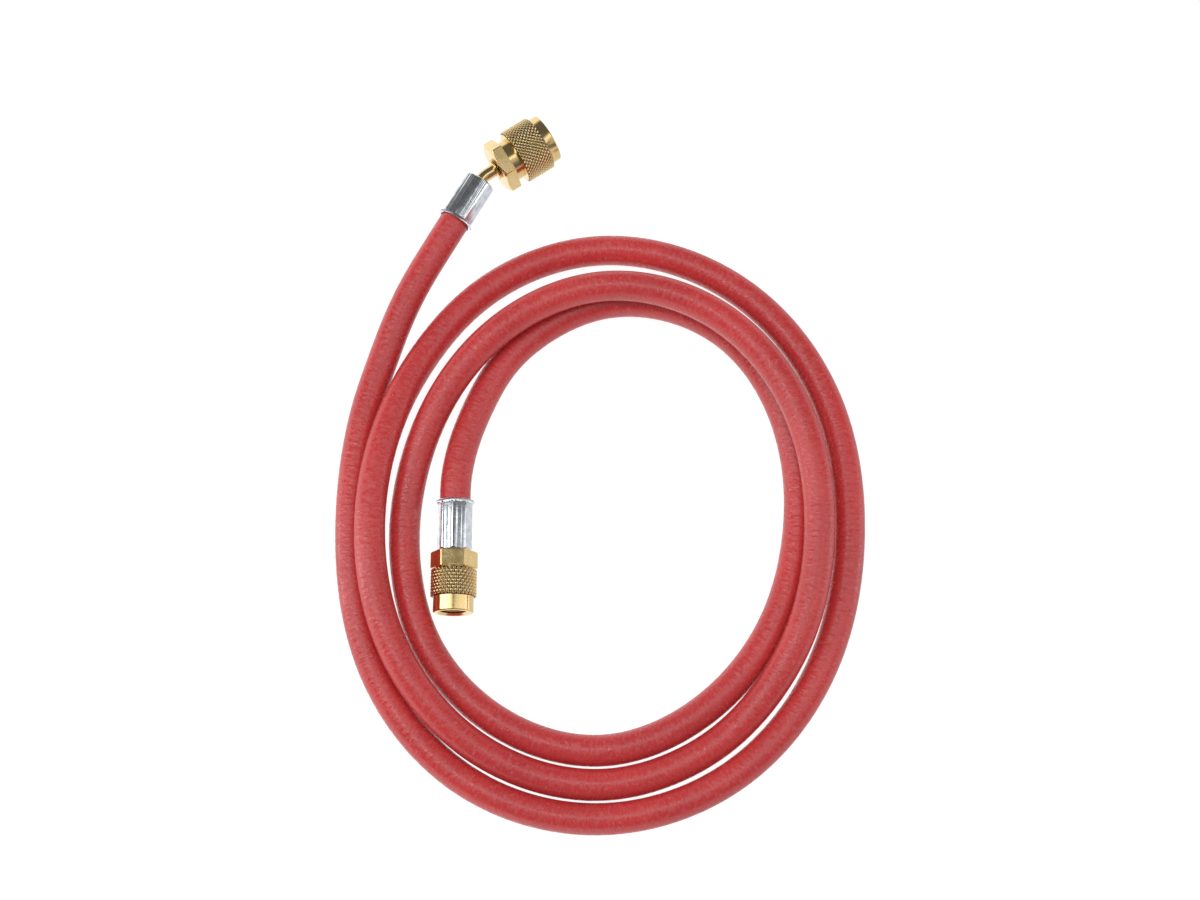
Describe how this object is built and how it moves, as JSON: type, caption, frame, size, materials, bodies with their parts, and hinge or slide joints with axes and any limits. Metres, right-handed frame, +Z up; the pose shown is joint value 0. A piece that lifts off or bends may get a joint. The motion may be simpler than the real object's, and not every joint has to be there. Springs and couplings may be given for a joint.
{
  "type": "refrigerant charging hose",
  "caption": "Rubber refrigerant hose in a loose flat coil, with crimped steel ferrules, one straight and one angled end, and knurled brass swivel nuts.",
  "frame": {"origin": "on the floor, under the middle of the bounding box of the hose as it lies in its coil", "axes": "+Z up from the floor; +Y is the long side of the coil, towards the end with the angled fitting; +X to the right seen from above with +Y away"},
  "size_m": [0.1924, 0.2682, 0.0233],
  "materials": {
    "hose_rubber": "satin",
    "ferrule_steel": "bright zinc plated",
    "fitting_brass": "bright turned",
    "seal_nylon": "satin"
  },
  "bodies": {
    "hose_assembly": {"hose": "hose_rubber", "ferrule_straight": "ferrule_steel", "ferrule_angled": "ferrule_steel", "stem_straight": "fitting_brass", "stem_angled": "fitting_brass", "seal_straight": "seal_nylon", "seal_angled": "seal_nylon"},
    "swivel_nut_straight": {"nut_straight": "fitting_brass"},
    "swivel_nut_angled": {"nut_angled": "fitting_brass"}
  },
  "joints": [
    {"name": "swivel_straight", "type": "hinge", "parent": "hose_assembly", "child": "swivel_nut_straight", "pos_m": [-0.05236, -0.0452, 0.00843], "axis": [0, -1, 0], "continuous": true},
    {"name": "swivel_angled", "type": "hinge", "parent": "hose_assembly", "child": "swivel_nut_angled", "pos_m": [-0.02935, 0.12016, 0.01078], "axis": [0.8339, 0.5519, 0], "continuous": true}
  ]
}
